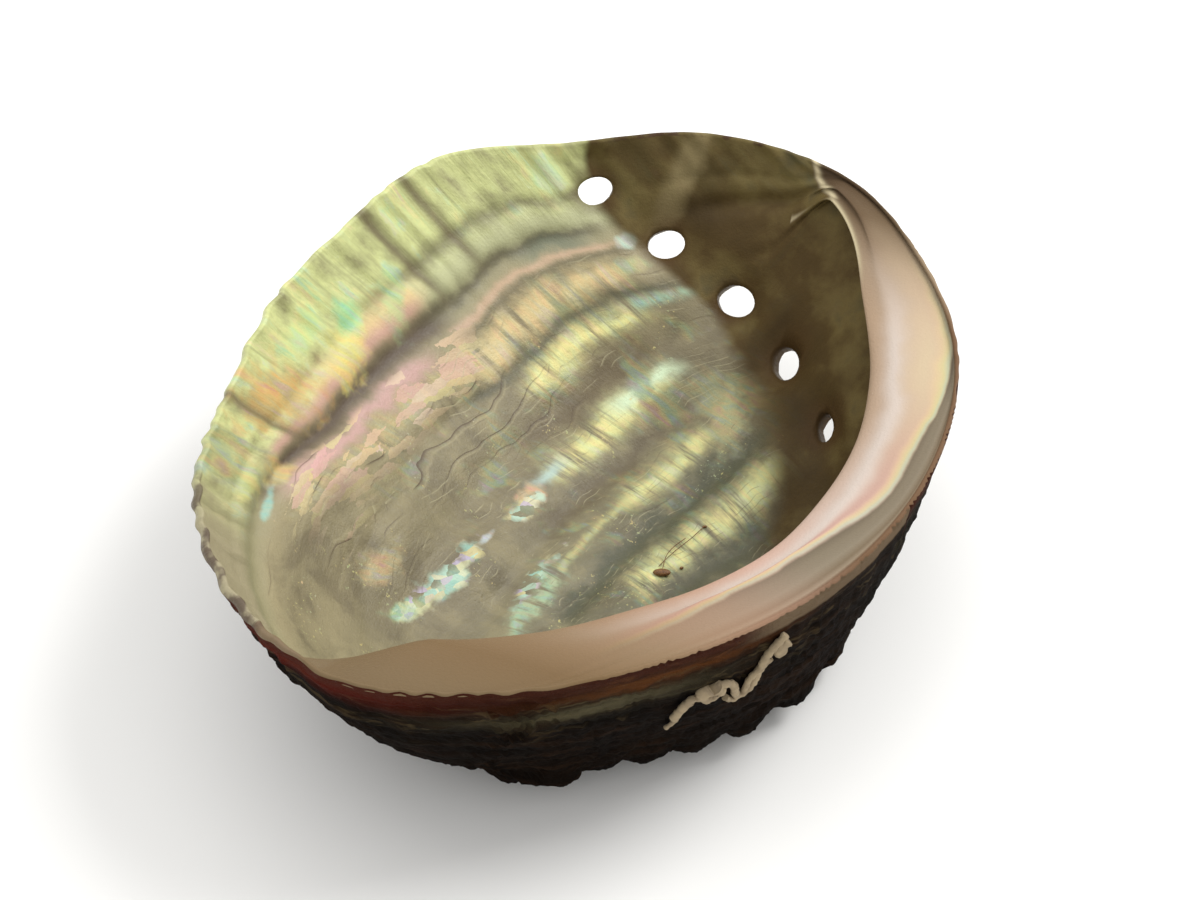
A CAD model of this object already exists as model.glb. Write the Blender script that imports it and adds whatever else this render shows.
"""Abalone shell lying on its back, laid out as a Blender add-on and run as a script.

The shell is one mesh: a rough dark back and a pearly bowl on one grid of rings, joined at the lip, along the
ledge and through the holes. Shapes are worked out in millimetres and made in metres. Positions on the shell
are given as a row share (0 at the lowest point, 1 at the lip) and an angle from +X round the lowest point.
"""
from math import cos, pi, radians, sin

import bpy
import numpy as np
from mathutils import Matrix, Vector


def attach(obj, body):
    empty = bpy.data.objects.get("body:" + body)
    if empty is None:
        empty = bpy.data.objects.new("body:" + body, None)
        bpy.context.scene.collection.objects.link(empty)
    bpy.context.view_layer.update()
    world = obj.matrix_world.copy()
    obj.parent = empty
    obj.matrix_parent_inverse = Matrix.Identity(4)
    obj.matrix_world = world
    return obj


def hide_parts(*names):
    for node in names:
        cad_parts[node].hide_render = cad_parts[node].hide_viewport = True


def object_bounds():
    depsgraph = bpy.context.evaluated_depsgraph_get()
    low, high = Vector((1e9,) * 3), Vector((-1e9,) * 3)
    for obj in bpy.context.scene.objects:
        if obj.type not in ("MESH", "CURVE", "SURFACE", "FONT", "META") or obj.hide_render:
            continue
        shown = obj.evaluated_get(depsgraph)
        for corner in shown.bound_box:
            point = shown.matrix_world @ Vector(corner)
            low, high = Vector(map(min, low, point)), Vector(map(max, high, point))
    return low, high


bl_info = {
    "name": "Abalone Shell",
    "version": (1, 0, 0),
    "blender": (4, 5, 0),
    "location": "View3D > Sidebar > Shell",
    "description": "Builds an abalone shell with its nacre, crust, worm tube and a plain stage",
    "category": "Add Mesh",
}

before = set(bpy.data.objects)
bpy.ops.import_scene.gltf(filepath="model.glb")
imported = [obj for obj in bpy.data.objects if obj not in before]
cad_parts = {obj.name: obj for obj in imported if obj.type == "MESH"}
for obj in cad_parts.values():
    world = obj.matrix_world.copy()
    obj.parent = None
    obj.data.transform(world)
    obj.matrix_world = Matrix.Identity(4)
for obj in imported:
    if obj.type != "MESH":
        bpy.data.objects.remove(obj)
CAD_BOX = [list(corner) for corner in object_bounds()]

MM = 0.001
NUDGE = 1e-4

# Overall form, as in the solid
RIM_HEIGHT = 37.0
REST_CUT = 0.6
LOWEST = (3.9, -3.2)
DOME_SHARE = 0.1
RIM_RADII = (46.0, 48.5, 53.0, 58.5, 65.5, 67.0, 64.0, 62.0, 56.0,
             54.0, 53.5, 58.0, 61.0, 61.5, 55.5, 49.5, 46.5, 45.5)
RIM_LIFTS = (0.0, 0.0, 0.0, 0.0, 0.3, 0.0, -1.0, 1.6, 0.9,
             0.3, 0.0, 0.0, 0.0, 0.0, 0.0, 0.0, 0.0, 0.0)
STEEPNESS = (8.5, 5.0, 2.9, 3.0, 2.9, 2.4, 2.2, 2.4, 4.2, 6.0, 6.2, 8.0)
WALL = 3.0
LIP = 1.3
LIP_TAPER = 0.25

# Growth spiral and the waves that follow it
APEX = (12.9, -44.2)
CURL = 0.47
GROWTH_WAVES = ((0.038, 0.0045, 0.3), (0.067, 0.009, 1.2), (0.125, 0.007, 0.4), (0.178, 0.018, 0.6),
                (0.258, 0.016, 0.9), (0.345, 0.02, 1.0), (0.435, 0.02, 0.9))
WAVE_FADE = 12.0
BELT_LEAN = 0.006
BELT_START = 235.0
BELT_LIPS = (180.0, 235.0, 255.0, 271.0, 285.0, 300.0)
BELT_SHARES = (1.33, 1.0, 0.88, 0.9, 1.0, 1.06)
OLD_BELT = 0.1  # age from which the lean of the belts takes over from their shares
BELT_BLEND = 0.08
WAVE_END = (286.0, 18.0)  # lip position where the waves weaken, and over what length
WAVE_LOSS = 0.6
GROOVES = (223.0, 233.0, 277.0)  # lip positions of the grooves across the lip band
GROOVE_WIDTH = 1.1
GROOVE_DEPTH = 0.35
LIP_BAND = 0.075  # belt where the lip band ends
LIP_BAND_BLEND = 0.03
CORD_WIDTH = 0.22
CORD_AGE = 0.055  # age by which the cords have moved from both sides to the back alone
SCALLOP_DEPTH = 1.1
SCALLOP_SPACING = 7.5
SCALLOP_FADE = 0.03  # age by which the scallops of the lip have died out
SCALLOP_CHIPS = 0.18
LIP_BULGE = 0.35
SWELL_FADE = 0.08  # share of the rows over which the waves flatten out at the lip

# Holes, newest first, and the keel they stand on
HOLES = ((-22.5, 50.9, 5.6, 4.4), (-10.2, 51.2, 6.0, 4.6), (3.4, 48.4, 6.6, 5.0),
         (15.1, 41.0, 5.8, 5.0), (25.5, 31.1, 4.4, 3.6))
HOLE_REACH = 2.4
HOLE_COLLAR = 1.3
HOLE_FUNNEL = 0.6
FUNNEL_SPREAD = 3.4
SEALED_HOLES = ((33.3, 17.4), (37.5, 6.4), (39.3, -4.2), (37.9, -13.8), (33.9, -21.8),
                (29.3, -28.2), (24.3, -33.4), (19.5, -38.0), (14.9, -41.8))
KNOB_HEIGHTS = (2.0, 2.0, 2.0, 2.0, 1.8, 1.6, 1.4, 1.2, 0.8)
KNOB_SPREAD = 2.2
KEEL_START = (-27.6, 56.3)
KEEL_HEIGHT = 1.1
KEEL_SPREAD = 3.6

# Spire
SPIRE_CENTRE = (10.5, -38.4)
SPIRE_RADIUS = 7.4
SPIRE_START = radians(-38)
SPIRE_TURNS = 1.6
SPIRE_CURL = 0.17
SPIRE_HEIGHT = 1.9
SPIRE_SPREAD = 1.7

# Ledge
LEDGE_REACH = (13.0, 13.0, 13.2, 11.5, 5.0, 1.5, 1.5, 1.5, 1.5,
               1.5, 1.5, 6.0, 13.0, 16.0, 16.2, 15.2, 13.8, 13.0)
LEDGE_DROP = (3.2, 2.8, 2.2, 1.4, 0.6, 0.0, 0.0, 0.0, 0.0,
              0.0, 0.0, 3.0, 5.5, 5.2, 4.5, 4.2, 3.8, 3.5)
LEDGE_START = 245.0
LEDGE_GROWS = 21.0
LEDGE_TIP = 87.0
LEDGE_TAPER = 8.0
LEDGE_GAP = 0.3
LEDGE_EDGES = (2.2, 2.2, 2.0, 1.0, 0.8, 1.5, 2.2, 2.2, 2.2, 2.2, 2.2, 2.2, 2.2, 2.2, 2.2, 2.2, 2.2, 2.2)
LEDGE_STEPS = (4.2, 3.2, 0.6, 0.5, 0.5, 0.5, 0.5, 0.5, 0.5, 0.5, 0.5, 0.5, 0.5, 0.9, 2.2, 6.0, 8.0, 7.0)
LEDGE_ROOT = 0.7
LEDGE_FREE = 0.58

# Grid of rings
ROWS = 100
SECTORS = 576
HALVINGS = (0.34, 0.18, 0.1)
LIP_ROUNDS = 3
RIM_TABLE = 1440
TURN_STEPS = 420

# Camera, from the photograph
VIEW_AZIMUTH = radians(25)
VIEW_ELEVATION = radians(43)
VIEW_TARGET = (0.00707, -0.01083, 0.0364)
VIEW_DISTANCE = 0.3658
LENS = 79.6

# Stage
FLOOR_SIZE = 6.0
LIGHTS = (
    # name, place to the right, away from the camera and up, size, share of the key power
    ("key", (0.6, 0.22, 0.8), 0.45, 1.0),
    ("fill", (-0.3, 0.3, 1.1), 0.9, 0.5),
)
LIGHT_TARGET = (0.0, 0.0, 0.02)
BOX_MARGIN = 2e-5


def linear(red, green, blue):
    """Scene-linear colour of a colour given on the 0 to 255 scale of a screen."""
    shares = (red / 255, green / 255, blue / 255)
    return tuple(c / 12.92 if c <= 0.04045 else ((c + 0.055) / 1.055) ** 2.4 for c in shares)


def color_property(name, about, color):
    """Property for one finish colour."""
    return bpy.props.FloatVectorProperty(name=name, description=about, subtype="COLOR", size=3,
                                         min=0.0, max=1.0, default=linear(*color))


def length_property(name, about, size):
    """Property for a length, shown in the scene's units."""
    return bpy.props.FloatProperty(name=name, description=about, unit="LENGTH", default=size, precision=5)


class ShellSizes(bpy.types.PropertyGroup):
    cord_height: length_property("Cord Height", "How far the spiral cords stand out at the lip", 0.0007)
    cord_spacing: length_property("Cord Spacing", "Distance between spiral cords along the lip", 0.0045)
    crust_height: length_property("Crust Height", "How far the crust's lumps stand out", 0.0014)
    ripple_height: length_property("Ripple Height", "Depth of the fine ripples in the nacre", 0.00022)
    tube_radius: length_property("Tube Radius", "Radius of the worm tube", 0.00055)
    hair_radius: length_property("Hair Radius", "Radius of the hairs lying in the bowl", 0.00006)


class ShellColors(bpy.types.PropertyGroup):
    lip_green: color_property("Lip Green", "Green nacre near the outer lip", (176, 186, 128))
    floor_olive: color_property("Floor Olive", "Olive nacre of the bowl's floor", (150, 140, 108))
    ledge_pink: color_property("Ledge Pink", "Pink pearl of the ledge", (190, 148, 136))
    crust_brown: color_property("Crust Brown", "Dark brown crust of the back", (22, 13, 6))
    chalk: color_property("Chalk", "Pale chalk of the worm tube", (162, 144, 114))


class StageSettings(bpy.types.PropertyGroup):
    key_power: bpy.props.FloatProperty(name="Key Power", description="Power of the key light",
                                       unit="POWER", default=6.0)
    sky: bpy.props.FloatProperty(name="Sky", description="Strength of the even light from all round",
                                 default=0.9)
    floor_color: color_property("Floor Color", "Pale floor", (244, 243, 240))


def bend(four, f):
    """Place between the middle two of four points in a row, on the smooth curve through them."""
    a, b, c, d = four
    return b + 0.5 * f * (c - a + f * (2 * a - 5 * b + 4 * c - d + f * (3 * (b - c) + d - a)))


def around(values, angle):
    """Value at an angle on the smooth closed curve through evenly spaced values."""
    values = np.asarray(values, float)
    place = (np.asarray(angle, float) / (2 * pi)) % 1.0 * len(values)
    first = np.floor(place).astype(int)
    f = place - first
    return bend([values[(first + k) % len(values)] for k in (-1, 0, 1, 2)], f)


def smooth(x):
    """Even step from 0 to 1 as x goes from 0 to 1."""
    x = np.clip(x, 0.0, 1.0)
    return x * x * (3 - 2 * x)


def curve_through(points, count):
    """Smooth open curve through points, as count points along it."""
    points = np.asarray(points, float)
    ends = np.vstack([2 * points[0] - points[1], points, 2 * points[-1] - points[-2]])
    place = np.linspace(0, len(points) - 1, count)
    first = np.minimum(place.astype(int), len(points) - 2)
    f = (place - first)[:, None]
    return bend([ends[first + k] for k in range(4)], f)


def reach(row):
    """Share of the rim radius at a row share: rows crowd where the walls are steep."""
    return 1.5 * row - 0.5 * np.abs(row) ** 2.5


def plain_back(row, angle):
    """Point on the back before its relief."""
    share = reach(row)
    radius = around(RIM_RADII, angle) * share
    rise = DOME_SHARE * share ** 2 + (1 - DOME_SHARE) * share ** around(STEEPNESS, angle)
    height = (RIM_HEIGHT + around(RIM_LIFTS, angle)) * rise - REST_CUT
    return np.stack([LOWEST[0] + radius * np.cos(angle), LOWEST[1] + radius * np.sin(angle), height], -1)


def inward(row, angle):
    """Unit normal of the plain back, pointing into the bowl."""
    row = np.maximum(row, 0.01)
    out = plain_back(row + NUDGE, angle) - plain_back(row - NUDGE, angle)
    along = plain_back(row, angle + NUDGE) - plain_back(row, angle - NUDGE)
    normal = np.cross(out, along)
    return normal / np.linalg.norm(normal, axis=-1, keepdims=True)


def on_grid(x, y):
    """Row share and angle of a place in plan."""
    dx = x - LOWEST[0]
    dy = y - LOWEST[1]
    angle = np.arctan2(dy, dx)
    rows = np.linspace(0, 1, 400)
    return np.interp(np.hypot(dx, dy) / around(RIM_RADII, angle), reach(rows), rows), angle


def seat(places):
    """Points of the plain back above places given in plan."""
    places = np.asarray(places, float)
    row, angle = on_grid(places[:, 0], places[:, 1])
    return plain_back(row, angle)


class Growth:
    """Age and lip position of any point: the lip shrinks along a spiral about the apex as it gets older."""

    def __init__(self):
        angle = np.linspace(0, 2 * pi, RIM_TABLE, endpoint=False)
        rim = plain_back(np.ones(RIM_TABLE), angle)
        offset = rim[:, :2] - APEX
        bearing = (np.arctan2(offset[:, 1], offset[:, 0]) + pi / 2) % (2 * pi)
        order = np.argsort(bearing)
        steps = np.linalg.norm(np.roll(rim[order], -1, axis=0) - rim[order], axis=1)
        self.length = steps.sum()
        self.bearing = bearing[order]
        self.radius = np.hypot(*offset[order].T)
        self.along = np.concatenate([[0.0], np.cumsum(steps)[:-1]])

    def at(self, points):
        offset = points[:, :2] - APEX
        start = (np.arctan2(offset[:, 1], offset[:, 0]) + pi / 2) % (2 * pi)
        distance = np.hypot(*offset.T)
        turn = np.linspace(0, 2 * pi, TURN_STEPS)
        lip = np.interp(start[:, None] + turn, self.bearing, self.radius, period=2 * pi) * np.exp(-CURL * turn)
        inside = lip <= distance[:, None]
        hit = np.argmax(inside, axis=1)
        before = np.maximum(hit - 1, 0)
        every = np.arange(len(points))
        gap = lip[every, before] - lip[every, hit]
        part = np.where(gap > 1e-9, (lip[every, before] - distance) / np.maximum(gap, 1e-9), 1.0)
        exact = (before + np.clip(part, 0, 1)) * (turn[1] - turn[0])
        exact = np.where(inside.any(axis=1) & (hit > 0), exact, 0.0)
        end = start + exact
        laps = np.floor(end / (2 * pi))
        position = np.interp(end % (2 * pi), self.bearing, self.along) + laps * self.length
        return CURL * exact, position


def bumps(points, centres, heights, spread):
    """Bell-shaped bumps of the given heights round the centres."""
    gap = points[:, None, :] - centres[None, :, :]
    return (np.asarray(heights) * np.exp(-(gap ** 2).sum(-1) / (2 * spread ** 2))).max(axis=1)


def gap_to(points, line):
    """Distance from each point to a line given as points."""
    return np.sqrt(((points[:, None, :] - line[None, :, :]) ** 2).sum(-1).min(axis=1))


def keel_line():
    """Line on the back through the open and the sealed holes."""
    plan = [KEEL_START] + [hole[:2] for hole in HOLES] + list(SEALED_HOLES)
    return seat(curve_through(plan, 240))


def spire_line():
    """Line on the back along the crest of the spire's coil."""
    turn = np.linspace(0, 2 * pi * SPIRE_TURNS, 120)
    radius = SPIRE_RADIUS * np.exp(-SPIRE_CURL * turn)
    angle = SPIRE_START - turn
    return seat(np.stack([SPIRE_CENTRE[0] + radius * np.cos(angle),
                          SPIRE_CENTRE[1] + radius * np.sin(angle)], -1))


def hole_seats():
    """Centres of the open holes on the plain back."""
    return seat([hole[:2] for hole in HOLES])


def belt_of(age, lip):
    """Age with the lean of the growth belts taken out, so that each wave lies at one value."""
    young = np.interp(lip, BELT_LIPS, BELT_SHARES)
    old = np.clip(1 - BELT_LEAN * (lip - BELT_START), 0.5, 1.5)
    return age * (young + (old - young) * smooth((age - OLD_BELT) / BELT_BLEND))


def waves(belt, lip, gap):
    """Depth of the growth waves, dying out towards the keel, and of the grooves across the lip band."""
    wave = sum(depth * np.exp(-((belt - at) / width) ** 2) for at, width, depth in GROWTH_WAVES)
    cut = GROOVE_DEPTH * sum(np.exp(-((lip - at) / GROOVE_WIDTH) ** 2) for at in GROOVES)
    wave = wave * (1 - WAVE_LOSS * smooth((lip - WAVE_END[0]) / WAVE_END[1]))
    return wave * smooth(gap / WAVE_FADE) + cut * smooth((LIP_BAND - belt) / LIP_BAND_BLEND)


def cords(lip, spacing):
    """Spiral cords across the lip: 1 on each crest, unevenly spaced and sized."""
    phase = lip / spacing + 0.35 * np.sin(lip / 9.1) + 0.25 * np.sin(lip / 5.3 + 1.7)
    size = 0.6 + 0.4 * np.sin(lip / 7.7 + 0.6) * np.sin(lip / 3.9 + 2.0)
    return size * np.exp(-((phase - np.round(phase)) / CORD_WIDTH) ** 2)


def wall_thickness(row):
    """Thickness of the wall at a row, thinning towards the lip."""
    return LIP + (WALL - LIP) * smooth((1 - reach(row)) / LIP_TAPER)


def scallops(lip):
    """Wavy edge of the lip, uneven in pace and size: 0 on the crests and 1 in the dents."""
    phase = lip / SCALLOP_SPACING + 0.8 * np.sin(lip / 11.0) + 0.45 * np.sin(lip / 5.1 + 1.0)
    size = 0.5 + 0.5 * np.sin(lip / 9.0 + 0.4) * np.sin(lip / 5.7 + 2.2)
    chips = SCALLOP_CHIPS * (1 + np.sin(lip / 0.9 + 2.0 * np.sin(lip / 4.0)))
    return size * (0.5 - 0.5 * np.cos(2 * pi * phase)) + chips


def ledge_share(angle):
    """How far the ledge has grown at an angle: 0 where there is none, 1 where it is whole."""
    degrees = np.degrees(angle) % 360
    return np.where(degrees > 180, smooth((degrees - LEDGE_START) / LEDGE_GROWS),
                    smooth((LEDGE_TIP - degrees) / LEDGE_TAPER))


def wall_section(angle):
    """The plain wall of the bowl at one angle, from the lip down, as inset and depth from the rim and row."""
    rows = np.linspace(1.0, 0.4, 121)
    wall = plain_back(rows, angle) + inward(rows, angle) * wall_thickness(rows)[:, None]
    radius = np.hypot(wall[:, 0] - LOWEST[0], wall[:, 1] - LOWEST[1])
    rim = rim_offset(angle, (0.0, 0.0))
    return rim[0] - radius, rim[1] - wall[:, 2], rows


def ledge_section(angle):
    """The wall behind the ledge, the ledge's cross-section from its root to the rim, and the root's row."""
    width = float(around(LEDGE_REACH, angle))
    drop = float(around(LEDGE_DROP, angle))
    edge = float(around(LEDGE_EDGES, angle))
    step = min(float(around(LEDGE_STEPS, angle)), 0.55 * width)
    dip = 0.45 * min(step / 5.0, 1.0)
    under = drop + edge
    wall = wall_section(angle)
    inset, depth, rows = wall
    root = min(float(np.interp(under + 3.2, depth, inset)), 0.55 * width)

    def above(at, wanted):
        return at, min(wanted, float(np.interp(at, inset, depth)) - LEDGE_GAP)

    section = (
        (root, float(np.interp(root, inset, depth))), above(0.5 * (root + width) - 0.6, under + 1.2),
        above(width - 1.5, under + 0.15), above(width - 0.25, drop + 0.8 * edge),
        above(width, drop + 0.45 * edge), above(width - 0.7, drop + 0.1), (width - 2.4, 0.82 * drop - 0.2),
        (0.68 * width, 0.58 * drop - 0.3), (0.5 * (0.68 * width + step + 1.3), 0.47 * drop - 0.25),
        (step + 1.3, 0.37 * drop), (step, 0.33 * drop + dip), (0.72 * step, 0.25 * drop + 0.8 * dip),
        (0.5 * step, 0.17 * drop + 0.2 * dip), (0.3 * step, 0.1 * drop + 0.4 * dip), (0.8, 0.0))
    return wall, np.array(section), float(np.interp(root, inset, rows))


def rim_offset(angle, section_point):
    """Distance from the lowest point and height of a point given as inset and depth from the rim."""
    radius = float(around(RIM_RADII, angle))
    rim = RIM_HEIGHT + float(around(RIM_LIFTS, angle)) - REST_CUT
    return np.array([radius - section_point[0], rim - section_point[1]])


def curve_at(section, place):
    """Point at a share of the way along a smooth curve through the section's points."""
    ends = np.vstack([2 * section[0] - section[1], section, 2 * section[-1] - section[-2]])
    place = place * (len(section) - 1)
    first = min(int(place), len(section) - 2)
    return bend(ends[first:first + 4], place - first)


def ledge_point(row, angle):
    """Point of the ledge, or of the wall below its root, at one row."""
    (inset, depth, rows), section, root = ledge_section(angle)
    if row < LEDGE_ROOT:
        down = LEDGE_FREE + (root - LEDGE_FREE) * (row - LEDGE_FREE) / (LEDGE_ROOT - LEDGE_FREE)
        spot = [np.interp(-down, -rows, values) for values in (inset, depth)]
    else:
        spot = curve_at(section, (row - LEDGE_ROOT) / (1 - LEDGE_ROOT))
    radius, height = rim_offset(angle, spot)
    return LOWEST[0] + radius * cos(angle), LOWEST[1] + radius * sin(angle), height


def sectors_at(row):
    """Number of sectors in the ring at a row share."""
    return SECTORS >> sum(row < edge for edge in HALVINGS)


def hole_blocks():
    """For each hole, its centre on the grid, its half sizes there and its block of cells."""
    blocks = []
    for x, y, width, height in HOLES:
        row, angle = on_grid(x, y)
        step = plain_back(row + NUDGE, angle) - plain_back(row - NUDGE, angle)
        half_angle = 0.5 * width / float(np.hypot(x - LOWEST[0], y - LOWEST[1]))
        half_row = 0.5 * height / (np.linalg.norm(step) / (2 * NUDGE))
        cells = (max(1, round(half_row * ROWS)), max(1, round(half_angle * SECTORS / (2 * pi))))
        centre = (round(float(row) * ROWS), round(float(angle) % (2 * pi) * SECTORS / (2 * pi)))
        blocks.append((float(row), float(angle) % (2 * pi), half_row, half_angle, centre, cells))
    return blocks


def give_way(i, rows, angles, blocks):
    """Move one ring's grid places so that each hole's block of cells fits its oval."""
    for row, angle, half_row, half_angle, centre, cells in blocks:
        across = (i - centre[0]) / cells[0]
        along = ((np.arange(SECTORS) - centre[1] + SECTORS / 2) % SECTORS - SECTORS / 2) / cells[1]
        size = np.maximum(np.maximum(abs(across), np.abs(along)), 1.0)
        weight = 1 - smooth((size - 1) / (HOLE_REACH - 1))
        a = along / size
        b = across / size
        oval_angle = angle + half_angle * size * a * np.sqrt(1 - b * b / 2)
        oval_row = row + half_row * size * b * np.sqrt(1 - a * a / 2)
        shift = (oval_angle - angles + pi) % (2 * pi) - pi
        angles = angles + weight * shift
        rows = rows + weight * (oval_row - rows)
    return rows, angles


def cut_out(i, j, blocks):
    """Whether the cell between rings i and i + 1, sectors j and j + 1 lies in a hole."""
    for _, _, _, _, centre, cells in blocks:
        along = (j - centre[1] + SECTORS // 2) % SECTORS - SECTORS // 2
        if -cells[0] <= i - centre[0] < cells[0] and -cells[1] <= along < cells[1]:
            return True
    return False


def ring_places(i, blocks):
    """Row shares and angles of one ring's vertices."""
    count = sectors_at(i / ROWS)
    angles = np.arange(count) * 2 * pi / count
    rows = np.full(count, i / ROWS)
    if count == SECTORS and i < ROWS:
        rows, angles = give_way(i, rows, angles, blocks)
    return rows, angles


FORMS = {}


def shell_form(sizes):
    """The shell's form, worked out once for all pieces."""
    key = (sizes.cord_height, sizes.cord_spacing)
    if key not in FORMS:
        FORMS[key] = ShellForm(sizes)
    return FORMS[key]


class ShellForm:
    """Rings of the back and the bowl, with what the finishes need to know of each vertex."""

    def __init__(self, sizes):
        self.sizes = sizes
        self.growth = Growth()
        self.keel = keel_line()
        self.spire = spire_line()
        self.holes = hole_seats()
        self.sealed = seat(SEALED_HOLES)
        self.blocks = hole_blocks()
        self.back = []
        self.bowl = []
        self.marks = {name: [] for name in ("age", "lip", "belt", "turn", "keel", "hole", "plate", "inset")}
        for i in range(ROWS + 1):
            self.add_ring(i)

    def add_ring(self, i):
        rows, angles = ring_places(i, self.blocks) if i else (np.zeros(1), np.zeros(1))
        plain = plain_back(rows, angles)
        normals = inward(rows, angles) if i else np.array([[0.0, 0.0, 1.0]])
        age, lip = self.growth.at(plain)
        gap = gap_to(plain, self.keel)
        inset = np.linalg.norm(plain - plain_back(np.ones_like(rows), angles), axis=1)
        ledge = ledge_share(angles)
        side = self.keel_offset(plain)
        belt = belt_of(age, lip)
        swell = waves(belt, lip, gap) + KEEL_HEIGHT * np.exp(-(gap / KEEL_SPREAD) ** 2 / 2)
        swell = swell * smooth((1 - i / ROWS) / SWELL_FADE)
        cord = cords(lip, self.sizes.cord_spacing / MM) * self.sizes.cord_height / MM * (1 - ledge)
        cord = cord * (1 - 0.75 * smooth((side + 4) / 8)) * (0.35 + 0.65 * smooth((inset - 0.5) / 4.0))
        young = np.exp(-(age / CORD_AGE) ** 2) * smooth(gap / 8)
        dents = SCALLOP_DEPTH * scallops(lip) * np.exp(-age / SCALLOP_FADE) * (1 - 0.6 * ledge)
        both = swell + cord * young - dents
        outer = plain - normals * (both + self.knobs(plain) + 0.7 * cord * (1 - young))[:, None]
        outer[:, 2] = np.maximum(outer[:, 2], 0.0)
        self.back.append(outer)
        on_ledge = ledge * smooth((i / ROWS - LEDGE_FREE) / (LEDGE_ROOT - LEDGE_FREE))
        self.bowl.append(self.bowl_ring(i / ROWS, angles, plain, normals, ledge)
                         - normals * (both * (1 - on_ledge))[:, None])
        place = (i / ROWS - LEDGE_ROOT) / (1 - LEDGE_ROOT)
        plate = smooth(ledge / 0.15) * max(place, 0.0)
        hole = np.sqrt(((plain[:, None, :] - self.holes[None]) ** 2).sum(-1).min(axis=1))
        values = {"age": age, "lip": lip, "belt": belt, "turn": np.degrees(angles), "keel": side, "hole": hole,
                  "plate": plate, "inset": inset}
        for name, value in values.items():
            self.marks[name].append(np.broadcast_to(value, age.shape))

    def keel_offset(self, points):
        """Distance from the keel in plan, above 0 on the ledge's side and below 0 on the floor's side."""
        gap = points[:, None, :2] - self.keel[None, :, :2]
        nearest = np.argmin((gap ** 2).sum(-1), axis=1)
        ahead = self.keel[np.minimum(nearest + 1, len(self.keel) - 1), :2]
        along = ahead - self.keel[np.maximum(nearest - 1, 0), :2]
        offset = points[:, :2] - self.keel[nearest, :2]
        return (along[:, 0] * offset[:, 1] - along[:, 1] * offset[:, 0]) / np.linalg.norm(along, axis=1)

    def knobs(self, points):
        """How far only the back stands out: sealed holes, collars of the open ones, spire."""
        collars = bumps(points, self.holes, HOLE_COLLAR, KNOB_SPREAD * 1.3)
        sealed = bumps(points, self.sealed, KNOB_HEIGHTS, KNOB_SPREAD)
        return collars + sealed + SPIRE_HEIGHT * np.exp(-(gap_to(points, self.spire) / SPIRE_SPREAD) ** 2 / 2)

    def bowl_ring(self, row, angles, plain, normals, ledge):
        """Points of the bowl at one row."""
        funnel = 1 - bumps(plain, self.holes, HOLE_FUNNEL, FUNNEL_SPREAD)
        wall = plain + normals * (wall_thickness(row) * funnel)[:, None]
        if row <= LEDGE_FREE:
            return wall
        shelf = np.array([ledge_point(row, a) if share > 0 else (0.0, 0.0, 0.0)
                          for a, share in zip(angles, ledge)])
        return wall * (1 - ledge[:, None]) + shelf * ledge[:, None]


def shell_mesh(form):
    """Mesh of the whole shell, bowl faces first marked 1 and back faces 0."""
    back, bowl = form.back, form.bowl
    starts = np.cumsum([0] + [len(ring) for ring in back])
    size = int(starts[-1])
    verts = [np.vstack(back), np.vstack(bowl)]
    marks = {name: [np.concatenate(rings)] * 2 for name, rings in form.marks.items()}
    for k in range(1, LIP_ROUNDS):
        share = k / LIP_ROUNDS
        bulge = sin(pi * share) * LIP_BULGE
        verts.append(back[-1] * (1 - share) + bowl[-1] * share + np.array([0.0, 0.0, bulge]))
        for name in marks:
            marks[name] = marks[name] + [form.marks[name][-1]]

    def number(i, j):
        return int(starts[i] + j % len(back[i]))

    faces = []
    sides = []
    walls = {}
    for i in range(ROWS):
        inner, outer = len(back[i]), len(back[i + 1])
        for j in range(inner if inner > 1 else outer):
            if inner == 1:
                cells = [(0, number(1, j), number(1, j + 1))]
            elif inner == outer:
                cells = [(number(i, j), number(i + 1, j), number(i + 1, j + 1), number(i, j + 1))]
            else:
                near = (number(i, j), number(i, j + 1))
                far = [number(i + 1, 2 * j + k) for k in range(3)]
                cells = [(near[0], far[0], far[1]), (near[0], far[1], near[1]), (near[1], far[1], far[2])]
            hole = inner == SECTORS and cut_out(i, j, form.blocks)
            for cell in cells:
                if hole:
                    for a, b in zip(cell, cell[1:] + cell[:1]):
                        if walls.pop((b, a), None) is None:
                            walls[(a, b)] = True
                    continue
                faces.append(tuple(reversed(cell)))
                faces.append(tuple(v + size for v in cell))
                sides += [0, 1]
    for a, b in walls:
        faces.append((b, a, a + size, b + size))
        sides.append(1)
    loops = [[number(ROWS, j) for j in range(SECTORS)]]
    loops += [[2 * size + k * SECTORS + j for j in range(SECTORS)] for k in range(LIP_ROUNDS - 1)]
    loops.append([v + size for v in loops[0]])
    for k in range(LIP_ROUNDS):
        for j in range(SECTORS):
            n = (j + 1) % SECTORS
            faces.append((loops[k][j], loops[k][n], loops[k + 1][n], loops[k + 1][j]))
            sides.append(1)
    mesh = bpy.data.meshes.new("abalone_shell_dressed")
    mesh.from_pydata((np.vstack(verts) * MM).tolist(), [], faces)
    for name, values in marks.items():
        store(mesh, name, np.concatenate(values), "POINT")
    store(mesh, "bowl_side", np.array(sides, float), "FACE")
    back_only = np.concatenate([np.ones(size), np.zeros(len(mesh.vertices) - size)])
    store(mesh, "back_side", back_only, "POINT")
    mesh.shade_smooth()
    return mesh


def store(mesh, name, values, domain):
    """Keep one number for each vertex or face as an attribute."""
    attribute = mesh.attributes.new(name, "FLOAT", domain)
    attribute.data.foreach_set("value", np.asarray(values, np.float32))


def rgba(color):
    """Value of a colour: a socket, a finish colour, or a tuple on the 0 to 255 scale of a screen."""
    if isinstance(color, bpy.types.NodeSocket):
        return color
    return (*(linear(*color) if isinstance(color, tuple) else color), 1.0)


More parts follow.
